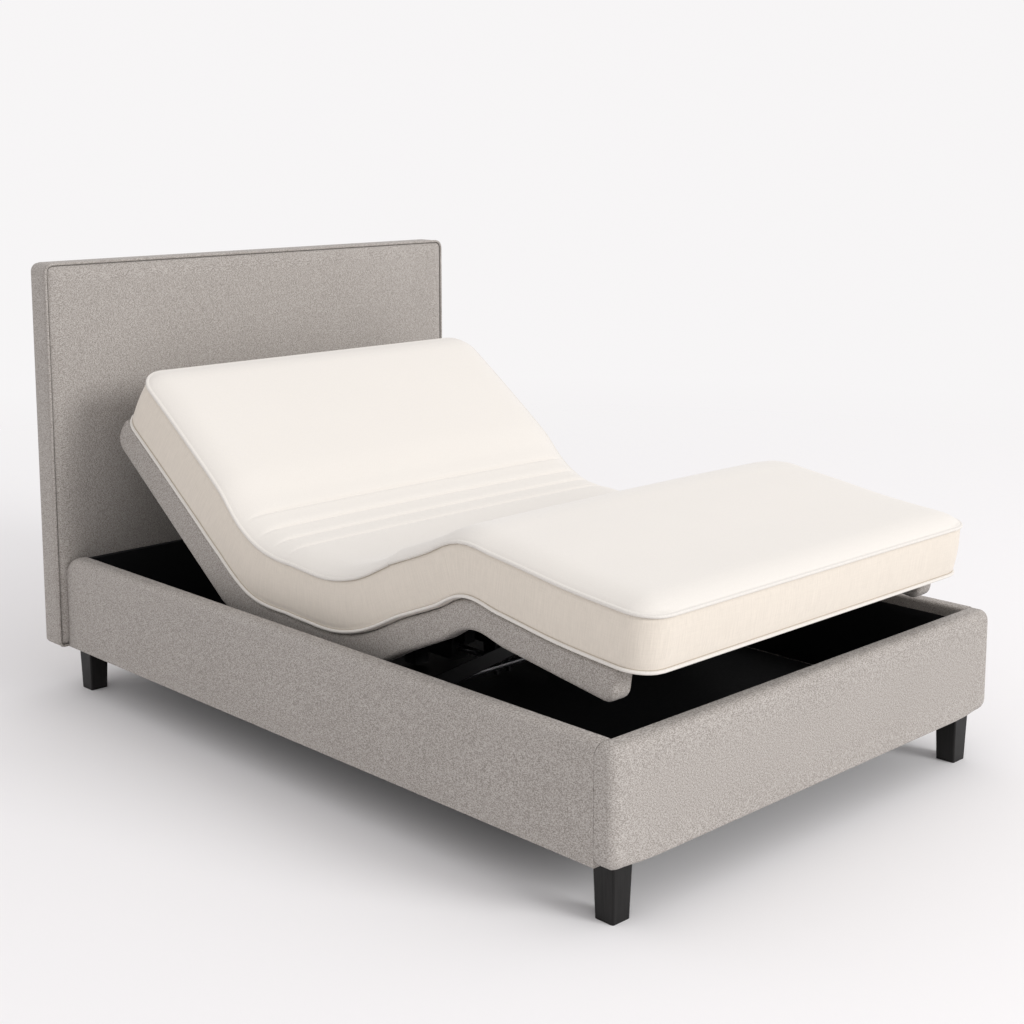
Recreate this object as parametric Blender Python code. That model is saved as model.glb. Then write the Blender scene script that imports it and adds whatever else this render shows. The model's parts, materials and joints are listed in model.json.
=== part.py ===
"""Adjustable bed base with upholstered surround, headboard, lifting deck and mattress.

Metres, +Z up, the head end towards +Y, origin on the floor under the middle of the whole bed.
Lengths along the bed are stated from the outer face of the footboard and shifted once, by BED_MID.
"""
import math

import bmesh
import bpy
from mathutils import Matrix, Vector

# ---- overall sizes
BASE_HALF_W = 0.715          # outer half width over the side rails
FRAME_LEN = 2.125            # footboard outer face to headboard front face
RAIL_T = 0.052               # upholstered board thickness
RAIL_Z0, RAIL_Z1 = 0.132, 0.397
HEADBOARD_T = 0.092
HEADBOARD_HALF_W = 0.739
HEADBOARD_TOP = 1.237
BED_MID = (FRAME_LEN + HEADBOARD_T) / 2
LEG_TOP, LEG_BOTTOM = 0.060, 0.052
LEG_X, LEG_Y_FOOT, LEG_Y_HEAD = 0.645, 0.062, 2.105
GAP = 0.0005                 # air left between pieces that meet

# ---- lying deck, given with every section flat
DECK_TOP = 0.399
PAD_IN, PAD_OUT = 0.540, 0.600
SEAT_PAD_H, BACK_PAD_H, LEG_PAD_H = 0.075, 0.102, 0.085
PANEL_HALF_W, PANEL_TOP, PANEL_T = 0.490, 0.384, 0.019
AXIS_Z = 0.385
BACK_Y, THIGH_Y, KNEE_Y = 1.391, 0.966, 0.516
DECK_HEAD_Y, DECK_FOOT_Y = 2.106, 0.060
PLATE_X = (0.518, 0.528)     # seat plates and calf arms
ARM_X = (0.530, 0.538)       # back and thigh arms
ARM_Z = (0.345, 0.385)
EYE_R, PIN_R, HOLE_R = 0.0135, 0.006, 0.0063
BACK_REST, THIGH_REST, CALF_REST = math.radians(36), math.radians(24), math.radians(8.5)
BACK_MAX, THIGH_MAX = math.radians(60), math.radians(40)

# ---- mattress
MAT_HALF_W, MAT_Z0, MAT_Z1 = 0.600, 0.400, 0.565
MAT_FOOT_Y, MAT_HEAD_Y, MAT_CORNER = -0.020, 2.112, 0.066

# ---- drives
DRIVE_X, DRIVE_Z = 0.120, 0.230
LEVER_TIP, LEVER_HALF, NOTCH_HALF, NOTCH_R = 0.188, 0.023, 0.012, 0.158
LINK_Y, LINK_Z, LINK_LEN = 0.760, 0.298, 0.3845
LINK_REST = math.radians(29.63)
LINK_X = (0.504, 0.512)
LINK_TAB = 0.140             # from the knee to the link's pin, along the calf section

COLOURS = {
    "linen": ((0.235, 0.232, 0.226), 0.9, 0.0),
    "cream_cloth": ((0.74, 0.70, 0.62), 0.85, 0.0),
    "black_board": ((0.012, 0.012, 0.013), 0.6, 0.0),
    "black_metal": ((0.015, 0.015, 0.016), 0.42, 0.6),
    "satin_leg": ((0.014, 0.014, 0.015), 0.32, 0.0),
    "bright_steel": ((0.55, 0.55, 0.56), 0.28, 1.0),
    "drive_plastic": ((0.03, 0.03, 0.033), 0.45, 0.0),
}


def clear_scene():
    for ob in list(bpy.data.objects):
        bpy.data.objects.remove(ob, do_unlink=True)


def make_material(name, look):
    colour, rough, metal = COLOURS[look]
    mat = bpy.data.materials.new(name + "_finish")
    mat.use_nodes = True
    shader = mat.node_tree.nodes["Principled BSDF"]
    shader.inputs["Base Color"].default_value = (*colour, 1.0)
    shader.inputs["Roughness"].default_value = rough
    shader.inputs["Metallic"].default_value = metal
    mat.diffuse_color = (*colour, 1.0)
    return mat


def place(name, bm, look, origin=None, turn=0.0, rest_origin=None, smooth=False):
    """Turn a mesh drawn flat into an object whose origin is the point it turns about."""
    bmesh.ops.remove_doubles(bm, verts=bm.verts, dist=1e-6)
    bmesh.ops.recalc_face_normals(bm, faces=bm.faces)
    if origin is None:
        xs, ys, zs = zip(*(v.co for v in bm.verts))
        origin = tuple((min(c) + max(c)) / 2 for c in (xs, ys, zs))
    bmesh.ops.translate(bm, verts=bm.verts, vec=-Vector(origin))
    mesh = bpy.data.meshes.new(name)
    bm.to_mesh(mesh)
    bm.free()
    if smooth:
        for poly in mesh.polygons:
            poly.use_smooth = True
        mesh.set_sharp_from_angle(angle=math.radians(35))
    ob = bpy.data.objects.new(name, mesh)
    bpy.context.scene.collection.objects.link(ob)
    spot = Vector(rest_origin or origin)
    ob.location = (spot.x, spot.y - BED_MID, spot.z)
    ob.rotation_euler = (turn, 0.0, 0.0)
    mesh.materials.append(make_material(name, look))
    return ob


def prism(points, lo, hi, axis="x"):
    """Close a flat outline into a solid between two planes. Points are (y, z), or (x, z) along y."""
    bm = bmesh.new()
    if axis == "x":
        verts = [bm.verts.new((lo, p, q)) for p, q in points]
        step = Vector((hi - lo, 0, 0))
    else:
        verts = [bm.verts.new((p, lo, q)) for p, q in points]
        step = Vector((0, hi - lo, 0))
    face = bm.faces.new(verts)
    out = bmesh.ops.extrude_face_region(bm, geom=[face])
    moved = [g for g in out["geom"] if isinstance(g, bmesh.types.BMVert)]
    bmesh.ops.translate(bm, verts=moved, vec=step)
    bmesh.ops.recalc_face_normals(bm, faces=bm.faces)
    return bm


def box(x0, x1, y0, y1, z0, z1):
    return prism([(y0, z0), (y1, z0), (y1, z1), (y0, z1)], x0, x1)


def round_edges(bm, radius, segments, keep):
    """Round the edges whose two ends both satisfy keep(co)."""
    edges = [e for e in bm.edges if keep(e.verts[0].co, e.verts[1].co)]
    bmesh.ops.bevel(bm, geom=edges, offset=radius, segments=segments, profile=0.5,
                    affect="EDGES", clamp_overlap=True)
    return bm


def rod(x0, x1, y, z, radius, sides=24):
    points = [(y + radius * math.cos(2 * math.pi * i / sides),
               z + radius * math.sin(2 * math.pi * i / sides)) for i in range(sides)]
    return prism(points, x0, x1)


def rod_along(y0, y1, x, z, radius, sides=24):
    points = [(x + radius * math.cos(2 * math.pi * i / sides),
               z + radius * math.sin(2 * math.pi * i / sides)) for i in range(sides)]
    return prism(points, y0, y1, axis="y")


def combine(base, tool, how):
    """Exact boolean of two bmeshes; the second is used up."""
    pair = []
    for tag, bm in (("a", base), ("b", tool)):
        mesh = bpy.data.meshes.new("work_" + tag)
        bm.to_mesh(mesh)
        bm.free()
        ob = bpy.data.objects.new("work_" + tag, mesh)
        bpy.context.scene.collection.objects.link(ob)
        pair.append(ob)
    mod = pair[0].modifiers.new("cut", "BOOLEAN")
    mod.operation, mod.object, mod.solver = how, pair[1], "EXACT"
    bpy.context.view_layer.update()
    result = bmesh.new()
    result.from_object(pair[0], bpy.context.evaluated_depsgraph_get())
    for ob in pair:
        mesh = ob.data
        bpy.data.objects.remove(ob, do_unlink=True)
        bpy.data.meshes.remove(mesh)
    bmesh.ops.remove_doubles(result, verts=result.verts, dist=1e-6)
    bmesh.ops.dissolve_limit(result, angle_limit=math.radians(0.5), verts=result.verts,
                             edges=result.edges)
    return result


def arc(cy, cz, radius, start, end, count):
    """Points on a circle in the side view, angles in degrees from +Y towards +Z."""
    return [(cy + radius * math.cos(math.radians(start + (end - start) * i / count)),
             cz + radius * math.sin(math.radians(start + (end - start) * i / count)))
            for i in range(count + 1)]


def swing(y, z, pivot, angle):
    """A side-view point turned about a pivot, raising +Y for a positive angle."""
    dy, dz = y - pivot[0], z - pivot[1]
    return (pivot[0] + dy * math.cos(angle) - dz * math.sin(angle),
            pivot[1] + dy * math.sin(angle) + dz * math.cos(angle))


KNEE_REST = swing(KNEE_Y, AXIS_Z, (THIGH_Y, AXIS_Z), -THIGH_REST)
BACK = dict(origin=(0, BACK_Y, AXIS_Z), turn=BACK_REST)
THIGH = dict(origin=(0, THIGH_Y, AXIS_Z), turn=-THIGH_REST)
CALF = dict(origin=(0, KNEE_Y, AXIS_Z), turn=CALF_REST, rest_origin=(0, *KNEE_REST))
SIDES = (("left", -1), ("right", 1))


def mirrored(bm, sign):
    if sign < 0:
        bmesh.ops.transform(bm, matrix=Matrix.Scale(-1, 4, (1, 0, 0)), verts=bm.verts)
        bmesh.ops.reverse_faces(bm, faces=bm.faces)
    return bm


# ---------------------------------------------------------------- surround
def build_headboard():
    bm = box(-HEADBOARD_HALF_W, HEADBOARD_HALF_W, FRAME_LEN, FRAME_LEN + HEADBOARD_T,
             RAIL_Z0, HEADBOARD_TOP)
    round_edges(bm, 0.020, 3, lambda a, b: max(a.z, b.z) > 1.0 or abs(a.z - b.z) > 0.5)
    place("headboard", bm, "linen", smooth=True)
    for side, s in SIDES:
        bm = box(0.560, 0.620, FRAME_LEN - 0.0065, FRAME_LEN - GAP, 0.160, 0.330)
        round_edges(bm, 0.004, 2, lambda a, b: abs(a.y - b.y) > 0.004)
        place("headboard_bracket_" + side, mirrored(bm, s), "black_metal")


def build_rails():
    inner = BASE_HALF_W - RAIL_T
    for side, s in SIDES:
        bm = box(inner, BASE_HALF_W, RAIL_T + GAP, FRAME_LEN - GAP, RAIL_Z0, RAIL_Z1)
        head = FRAME_LEN - 0.01
        round_edges(bm, 0.045, 5, lambda a, b: abs(a.x - b.x) > 0.01 and a.y > head and a.z > 0.3)
        round_edges(bm, 0.020, 4, lambda a, b: min(a.x, b.x) > BASE_HALF_W - 1e-4
                    and min(a.z, b.z) > RAIL_Z1 - 0.05)
        round_edges(bm, 0.006, 2, lambda a, b: max(a.x, b.x) < inner + 1e-4
                    and min(a.z, b.z) > RAIL_Z1 - 0.05)
        place("side_rail_" + side, mirrored(bm, s), "linen", smooth=True)
    bm = box(-BASE_HALF_W, BASE_HALF_W, 0.0, RAIL_T, RAIL_Z0, RAIL_Z1)
    round_edges(bm, 0.024, 4, lambda a, b: max(a.y, b.y) < 1e-4
                and (min(a.z, b.z) > RAIL_Z1 - 1e-4 or abs(a.x - b.x) < 1e-4))
    place("footboard", bm, "linen", smooth=True)
    reach = inner - GAP
    bm = box(-reach, reach, FRAME_LEN - 0.017, FRAME_LEN - 0.007, 0.141, 0.385)
    round_edges(bm, 0.003, 1, lambda a, b: abs(a.x - b.x) > 1.0)
    place("head_rail", bm, "black_board")
    bm = box(-reach, reach, RAIL_T + GAP, FRAME_LEN - GAP, RAIL_Z0 + 0.002, RAIL_Z0 + 0.008)
    place("base_bottom_cover", bm, "black_board")


def build_legs():
    for end, y in (("foot", LEG_Y_FOOT), ("head", LEG_Y_HEAD)):
        for side, s in SIDES:
            bm = box(LEG_X - LEG_TOP / 2, LEG_X + LEG_TOP / 2, y - LEG_TOP / 2, y + LEG_TOP / 2,
                     0.0, RAIL_Z0 - GAP)
            for v in bm.verts:
                if v.co.z < 0.01:
                    v.co.x = LEG_X + (v.co.x - LEG_X) * LEG_BOTTOM / LEG_TOP
                    v.co.y = y + (v.co.y - y) * LEG_BOTTOM / LEG_TOP
            round_edges(bm, 0.004, 2, lambda a, b: abs(a.z - b.z) > 0.05)
            place("leg_%s_%s" % (end, side), mirrored(bm, s), "satin_leg", smooth=True)


# ---------------------------------------------------------------- fixed deck
def build_seat():
    reach = BASE_HALF_W - RAIL_T - GAP
    for end, y in (("front", 1.060), ("rear", 1.200)):
        bm = box(-reach, reach, y, y + 0.040, 0.283, 0.3235)
        round_edges(bm, 0.003, 1, lambda a, b: abs(a.x - b.x) > 1.0)
        place("cross_beam_" + end, bm, "black_metal")
    low, under = 0.3240, PANEL_TOP - PANEL_T
    outline = [(THIGH_Y + 0.001, PANEL_TOP), (THIGH_Y + 0.001, under), (1.060, under), (1.060, low),
               (1.100, low), (1.100, under), (1.200, under), (1.200, low), (1.240, low),
               (1.240, under), (BACK_Y - 0.001, under), (BACK_Y - 0.001, PANEL_TOP)]
    place("seat_panel", prism(outline, -PANEL_HALF_W, PANEL_HALF_W), "black_board")
    for side, s in SIDES:
        bm = pad([(THIGH_Y + 0.0096, DECK_TOP), (THIGH_Y + 0.0096, DECK_TOP - SEAT_PAD_H),
                  (BACK_Y - 0.0096, DECK_TOP - SEAT_PAD_H), (BACK_Y - 0.0096, DECK_TOP)])
        place("seat_side_pad_" + side, mirrored(bm, s), "linen", smooth=True)
        low, high = 0.3240, AXIS_Z
        outline = ([(THIGH_Y, low), (BACK_Y, low), (BACK_Y + EYE_R, AXIS_Z - 0.030)]
                   + arc(BACK_Y, AXIS_Z, EYE_R, 0, 90, 4) + [(BACK_Y - 0.030, high),
                                                             (THIGH_Y + 0.030, high)]
                   + arc(THIGH_Y, AXIS_Z, EYE_R, 90, 180, 4) + [(THIGH_Y - EYE_R, AXIS_Z - 0.030)])
        bm = prism(outline, *PLATE_X)
        for y in (BACK_Y, THIGH_Y):
            bm = combine(bm, rod(PLATE_X[0] - 0.01, PLATE_X[1] + 0.01, y, AXIS_Z, HOLE_R), "DIFFERENCE")
        place("seat_side_plate_" + side, mirrored(bm, s), "black_metal")
        for what, y in (("back", BACK_Y), ("thigh", THIGH_Y)):
            bm = rod(0.5155, 0.5392, y, AXIS_Z, PIN_R)
            place("%s_hinge_pin_%s" % (what, side), mirrored(bm, s), "bright_steel", smooth=True)


def pad(outline):
    """A padded side bar of the deck, its long edges softened."""
    bm = prism(outline, PAD_IN, PAD_OUT)
    return round_edges(bm, 0.008, 2, lambda a, b: abs(a.x - b.x) < 1e-5)


def arm(y_pivot, y_end, x_span, second=None):
    """Flat bar running from the eye at y_pivot; second adds another eye at its far end."""
    d = 1 if y_end > y_pivot else -1
    low, high = ARM_Z
    if second is None:
        outline = [(y_end, high), (y_end, low)]
    else:
        outline = ([(y_end - d * 0.030, high)]
                   + [(y_end + d * (p - 0), q) for p, q in arc(0, AXIS_Z, EYE_R, 90, 0, 4)]
                   + [(y_end + d * EYE_R, AXIS_Z - 0.012), (y_end - d * 0.004, low)])
    outline += ([(y_pivot + d * 0.004, low), (y_pivot - d * EYE_R, AXIS_Z - 0.012)]
                + [(y_pivot - d * p, q) for p, q in arc(0, AXIS_Z, EYE_R, 0, 90, 4)]
                + [(y_pivot + d * 0.030, high)])
    bm = prism(outline, *x_span)
    for y in (y_pivot,) + ((second,) if second is not None else ()):
        bm = combine(bm, rod(x_span[0] - 0.01, x_span[1] + 0.01, y, AXIS_Z, HOLE_R), "DIFFERENCE")
    return bm


def lever(pivot_y, lean, root_y):
    """Twin-plate lever with an open notch that carries the cross pin of a drive rod."""
    d = Vector((-math.sin(lean), -math.cos(lean)))
    n = Vector((math.cos(lean), -math.sin(lean))) * (1 if root_y > pivot_y else -1)
    hub = Vector((pivot_y, AXIS_Z))

    def at(r, s):
        p = hub + d * r + n * s
        return (p.x, p.y)
    top = PANEL_TOP - PANEL_T - GAP
    step = 1 if root_y > pivot_y else -1
    notch = [at(NOTCH_R - NOTCH_HALF * math.sin(math.radians(a)), NOTCH_HALF * math.cos(math.radians(a)))
             for a in range(0, 181, 30)]
    outline = ([(pivot_y + step * 0.009, top), (root_y, top), (root_y, top - 0.014), at(0.090, LEVER_HALF),
                at(LEVER_TIP, LEVER_HALF), at(LEVER_TIP, NOTCH_HALF)] + notch
               + [at(LEVER_TIP, -NOTCH_HALF), at(LEVER_TIP, -LEVER_HALF), at(0.050, -LEVER_HALF)])
    x = DRIVE_X * step
    sheet_a = prism(outline, x - 0.026, x - 0.018)
    sheet_b = prism(outline, x + 0.018, x + 0.026)
    y0, y1 = sorted((pivot_y + step * 0.016, root_y - step * 0.004))
    tie = box(x - 0.024, x + 0.024, y0, y1, top - 0.010, top)
    return combine(combine(sheet_a, tie, "UNION"), sheet_b, "UNION")


# ---------------------------------------------------------------- moving deck
def build_back():
    e = 0.030
    pad_line = ([(BACK_Y + 0.0096, DECK_TOP), (BACK_Y + 0.0096, DECK_TOP - BACK_PAD_H)]
                + arc(DECK_HEAD_Y - e, DECK_TOP - BACK_PAD_H + e, e, -90, 0, 4)
                + arc(DECK_HEAD_Y - 0.012, DECK_TOP - 0.012, 0.012, 0, 90, 2))
    bm = box(-PANEL_HALF_W, PANEL_HALF_W, BACK_Y + 0.001, DECK_HEAD_Y - 0.020, PANEL_TOP - PANEL_T,
             PANEL_TOP)
    place("back_panel", bm, "black_board", **BACK)
    for side, s in SIDES:
        place("back_side_pad_" + side, mirrored(pad(pad_line), s), "linen", smooth=True, **BACK)
        bm = arm(BACK_Y, DECK_HEAD_Y - 0.060, ARM_X)
        place("back_arm_" + side, mirrored(bm, s), "black_metal", **BACK)
    bm = rod(-ARM_X[0] + GAP, ARM_X[0] - GAP, 1.760, 0.3515, 0.0125)
    place("back_cross_tube", bm, "black_metal", smooth=True, **BACK)
    place("head_lift_fork", lever(BACK_Y, math.radians(30), BACK_Y + 0.110), "black_metal", **BACK)


def build_thigh():
    mitre = (LEG_PAD_H - (DECK_TOP - AXIS_Z)) * math.tan(math.radians(27.5))
    bm = box(-PANEL_HALF_W, PANEL_HALF_W, KNEE_Y + 0.012, THIGH_Y - 0.001, PANEL_TOP - PANEL_T,
             PANEL_TOP)
    place("thigh_panel", bm, "black_board", **THIGH)
    line = [(THIGH_Y - 0.0096, DECK_TOP), (THIGH_Y - 0.0096, DECK_TOP - LEG_PAD_H),
            (KNEE_Y + mitre + 0.001, DECK_TOP - LEG_PAD_H), (KNEE_Y + 0.001, AXIS_Z),
            (KNEE_Y + 0.001, DECK_TOP)]
    for side, s in SIDES:
        place("thigh_side_pad_" + side, mirrored(pad(line), s), "linen", smooth=True, **THIGH)
        bm = arm(THIGH_Y, KNEE_Y, ARM_X, second=KNEE_Y)
        place("thigh_arm_" + side, mirrored(bm, s), "black_metal", **THIGH)
        bm = rod(0.5155, 0.5392, KNEE_Y, AXIS_Z, PIN_R)
        place("knee_pin_" + side, mirrored(bm, s), "bright_steel", smooth=True,
              origin=(0, KNEE_Y, AXIS_Z), turn=-THIGH_REST, rest_origin=(0, *KNEE_REST))
    bm = rod(-ARM_X[0] + GAP, ARM_X[0] - GAP, 0.740, 0.3515, 0.0125)
    place("thigh_cross_tube", bm, "black_metal", smooth=True, **THIGH)
    place("foot_lift_fork", lever(THIGH_Y, math.radians(-20), THIGH_Y - 0.110), "black_metal", **THIGH)


def build_calf():
    mitre = (LEG_PAD_H - (DECK_TOP - AXIS_Z)) * math.tan(math.radians(27.5))
    bm = box(-PANEL_HALF_W, PANEL_HALF_W, DECK_FOOT_Y + 0.015, KNEE_Y - 0.012, PANEL_TOP - PANEL_T,
             PANEL_TOP)
    place("calf_panel", bm, "black_board", **CALF)
    line = [(KNEE_Y - 0.001, DECK_TOP), (KNEE_Y - 0.001, AXIS_Z),
            (KNEE_Y - mitre - 0.001, DECK_TOP - LEG_PAD_H), (DECK_FOOT_Y + 0.062, DECK_TOP - LEG_PAD_H),
            (DECK_FOOT_Y + 0.028, DECK_TOP - LEG_PAD_H + 0.012), (DECK_FOOT_Y + 0.004, DECK_TOP - 0.034),
            (DECK_FOOT_Y, DECK_TOP - 0.010), (DECK_FOOT_Y + 0.008, DECK_TOP)]
    foot_end = DECK_FOOT_Y + 0.060
    for side, s in SIDES:
        place("calf_side_pad_" + side, mirrored(pad(line), s), "linen", smooth=True, **CALF)
        bm = arm(KNEE_Y, foot_end, PLATE_X)
        ear_y, ear_z = KNEE_Y - LINK_TAB, AXIS_Z - 0.060
        ear = prism([(ear_y - 0.034, ARM_Z[0] + 0.004), (ear_y - 0.020, ear_z - 0.014),
                     (ear_y + 0.020, ear_z - 0.014), (ear_y + 0.034, ARM_Z[0] + 0.004)], *PLATE_X)
        bm = combine(bm, ear, "UNION")
        slot = prism([(ear_y - 0.0105, ear_z - 0.03), (ear_y + 0.0105, ear_z - 0.03)]
                     + arc(ear_y, ear_z + 0.0005, 0.0105, 0, 180, 8),
                     PLATE_X[0] - 0.01, PLATE_X[1] + 0.01)
        bm = combine(bm, slot, "DIFFERENCE")
        place("calf_arm_" + side, mirrored(bm, s), "black_metal", **CALF)
    bm = rod(-PLATE_X[0] + GAP, PLATE_X[0] - GAP, 0.205, 0.3515, 0.0125)
    place("calf_cross_tube", bm, "black_metal", smooth=True, **CALF)


# ---------------------------------------------------------------- drives and links
def drive_body(step, bore_face, rear_face, bore_end):
    """Drive housing with a blind bore for its rod, a hanging lug and a motor can underneath."""
    x = DRIVE_X * step
    y0, y1 = sorted((bore_face, rear_face))
    bm = box(x - 0.030, x + 0.030, y0, y1, DRIVE_Z - 0.032, DRIVE_Z + 0.032)
    round_edges(bm, 0.010, 2, lambda a, b: abs(a.y - b.y) > 0.1)
    bm = combine(bm, box(x - 0.018, x + 0.018, 1.062, 1.238, DRIVE_Z + 0.020, 0.2825), "UNION")
    motor_y = rear_face + step * 0.040
    can = box(x - 0.026, x + 0.026, motor_y - 0.026, motor_y + 0.026, 0.150, DRIVE_Z)
    round_edges(can, 0.008, 2, lambda a, b: abs(a.z - b.z) > 0.05)
    bm = combine(bm, can, "UNION")
    z0, z1 = sorted((bore_face + step * 0.01, bore_end))
    return combine(bm, rod_along(z0, z1, x, DRIVE_Z, 0.0105), "DIFFERENCE")


def drive_rod(step, pin_y, length):
    """Push rod with a cross pin at its working end."""
    x = DRIVE_X * step
    y0, y1 = sorted((pin_y + step * 0.010, pin_y - step * length))
    bm = rod_along(y0, y1, x, DRIVE_Z, 0.009, 20)
    return combine(bm, rod(x - 0.029, x + 0.029, pin_y, DRIVE_Z, PIN_R, 20), "UNION")


def build_drives():
    head_pin = BACK_Y + 0.166 * (BACK_REST - math.radians(30))
    foot_pin = THIGH_Y - 0.1604 * (THIGH_REST - math.radians(20))
    place("head_actuator_body", drive_body(1, 1.210, 0.930, 0.985), "drive_plastic")
    place("foot_actuator_body", drive_body(-1, 1.100, 1.320, 1.270), "drive_plastic")
    place("head_rod", drive_rod(1, head_pin, 0.306), "bright_steel", smooth=True,
          origin=(DRIVE_X, head_pin, DRIVE_Z))
    place("foot_rod", drive_rod(-1, foot_pin, 0.232), "bright_steel", smooth=True,
          origin=(-DRIVE_X, foot_pin, DRIVE_Z))
    bm = box(-0.055, 0.055, 1.045, 1.255, 0.236, 0.2825)
    round_edges(bm, 0.006, 2, lambda a, b: abs(a.z - b.z) > 0.02)
    place("control_box", bm, "drive_plastic")
    for side, s in SIDES:
        bm = box(0.640, BASE_HALF_W - RAIL_T - GAP, LINK_Y - 0.026, LINK_Y + 0.026,
                 LINK_Z - 0.030, LINK_Z + 0.022)
        round_edges(bm, 0.008, 2, lambda a, b: abs(a.x - b.x) > 0.01)
        bm = combine(bm, rod(0.630, 0.670, LINK_Y, LINK_Z, 0.0083), "DIFFERENCE")
        place("link_bracket_" + side, mirrored(bm, s), "black_metal")
        rise = Vector((-math.cos(LINK_REST), math.sin(LINK_REST)))
        across = Vector((rise.y, -rise.x))
        hub, tip = Vector((LINK_Y, LINK_Z)), Vector((LINK_Y, LINK_Z)) + rise * LINK_LEN
        outline = []
        for i in range(9):
            a = math.pi * i / 8
            p = tip + (rise * math.sin(a) + across * math.cos(a)) * 0.0125
            outline.append((p.x, p.y))
        for i in range(9):
            a = math.pi * i / 8
            p = hub - (rise * math.sin(a) + across * math.cos(a)) * 0.018
            outline.append((p.x, p.y))
        bm = prism(outline, *LINK_X)
        bm = combine(bm, rod(LINK_X[0] - 0.01, LINK_X[1] + 0.01, LINK_Y, LINK_Z, 0.0083), "DIFFERENCE")
        bm = combine(bm, rod(LINK_X[0] + 0.002, PLATE_X[1] + 0.001, tip.x, tip.y, PIN_R), "UNION")
        place("calf_link_arm_" + side, mirrored(bm, s), "black_metal", origin=(0, LINK_Y, LINK_Z))
    bm = rod(-0.656, 0.656, LINK_Y, LINK_Z, 0.008)
    place("calf_link_shaft", bm, "bright_steel", smooth=True, origin=(0, LINK_Y, LINK_Z))


# ---------------------------------------------------------------- mattress
def mattress_block(y0, y1, lean0, lean1, round0=False, round1=False):
    """One section of the mattress; the leans are how far each end face tips in from the hinge."""
    def edge(y, lean, inward, z):
        return y + inward * ((z - AXIS_Z) * math.tan(math.radians(lean)) + 0.0008)
    low, high = MAT_Z0, MAT_Z1
    outline = [(edge(y0, lean0, 1, low), low), (edge(y1, lean1, -1, low), low),
               (edge(y1, lean1, -1, high), high), (edge(y0, lean0, 1, high), high)]
    bm = prism(outline, -MAT_HALF_W, MAT_HALF_W)
    ends = [v for v, on in ((y0, round0), (y1, round1)) if on]
    if ends:
        round_edges(bm, MAT_CORNER, 5, lambda a, b: abs(a.x - b.x) < 1e-5 and abs(a.z - b.z) > 0.1
                    and min(abs(a.y - ends[0]), abs(b.y - ends[0])) < 0.003)
    def rim(a, b):
        return (abs(a.z - b.z) < 1e-5 and a.z > high - 1e-4
                and (abs(a.x) > MAT_HALF_W - MAT_CORNER - 1e-3 and abs(b.x) > MAT_HALF_W - MAT_CORNER - 1e-3
                     and a.x * b.x > 0 or ends and max(abs(a.y - ends[0]), abs(b.y - ends[0])) < 0.003))
    return round_edges(bm, 0.026, 2, rim)


def build_mattress():
    place("seat_mattress", mattress_block(THIGH_Y, BACK_Y, 20.5, 30.5), "cream_cloth")
    place("back_mattress", mattress_block(BACK_Y, MAT_HEAD_Y, 30.5, 0, round1=True), "cream_cloth", **BACK)
    place("thigh_mattress", mattress_block(KNEE_Y, THIGH_Y, 0, 20.5), "cream_cloth", **THIGH)
    place("calf_mattress", mattress_block(MAT_FOOT_Y, KNEE_Y, 0, 0, round0=True), "cream_cloth", **CALF)


clear_scene()
build_headboard()
build_rails()
build_legs()
build_seat()
build_back()
build_thigh()
build_calf()
build_drives()
build_mattress()
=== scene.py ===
"""Upholstered adjustable bed: covers, mattress, finishes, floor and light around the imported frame."""
import json
import math

import bpy
import numpy as np
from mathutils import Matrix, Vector


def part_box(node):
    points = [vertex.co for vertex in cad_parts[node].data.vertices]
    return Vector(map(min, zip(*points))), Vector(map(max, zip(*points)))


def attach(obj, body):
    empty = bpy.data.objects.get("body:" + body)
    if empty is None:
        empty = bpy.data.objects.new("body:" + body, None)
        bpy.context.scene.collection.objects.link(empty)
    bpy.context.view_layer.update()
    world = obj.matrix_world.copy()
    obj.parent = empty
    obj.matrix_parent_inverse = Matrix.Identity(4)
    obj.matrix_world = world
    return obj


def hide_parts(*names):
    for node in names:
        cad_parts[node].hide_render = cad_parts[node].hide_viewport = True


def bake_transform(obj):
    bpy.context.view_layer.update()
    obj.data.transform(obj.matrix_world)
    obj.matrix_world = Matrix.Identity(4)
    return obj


bl_info = {
    "name": "Upholstered adjustable bed",
    "version": (1, 0, 0),
    "blender": (4, 5, 0),
    "location": "3D View > Sidebar > Bed",
    "description": "Covers, mattress and finishes for an adjustable bed base",
    "category": "Object",
}

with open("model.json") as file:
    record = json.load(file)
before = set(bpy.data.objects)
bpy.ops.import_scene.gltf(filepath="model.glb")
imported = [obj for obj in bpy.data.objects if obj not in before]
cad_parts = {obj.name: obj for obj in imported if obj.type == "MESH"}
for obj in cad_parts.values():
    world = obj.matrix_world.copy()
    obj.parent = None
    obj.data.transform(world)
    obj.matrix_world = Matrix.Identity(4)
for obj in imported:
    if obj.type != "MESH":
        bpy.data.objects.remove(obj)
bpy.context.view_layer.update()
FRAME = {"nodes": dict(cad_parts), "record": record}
MID = -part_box("footboard")[0].y          # from the footboard's outer face to the frame's origin
RAIL_LOW, RAIL_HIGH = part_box("footboard")[0].z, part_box("footboard")[1].z
HALF_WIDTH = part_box("footboard")[1].x
RAIL_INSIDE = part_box("side_rail_right")[0].x
HEADBOARD_LOW, HEADBOARD_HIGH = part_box("headboard")
SLOT_OF = {row["node"]: row["material_slot"] for row in FRAME["record"]["subparts"]}

# hinge lines as (distance from the footboard's outer face, height), with every section flat
BACK_LINE, THIGH_LINE, KNEE_LINE = (1.391, 0.385), (0.966, 0.385), (0.516, 0.385)
BACK_ANGLE, THIGH_ANGLE, KNEE_ANGLE = math.radians(36), math.radians(-24), math.radians(32.5)
MID_SEAT, MID_THIGH = 1.1785, 0.741
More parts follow.
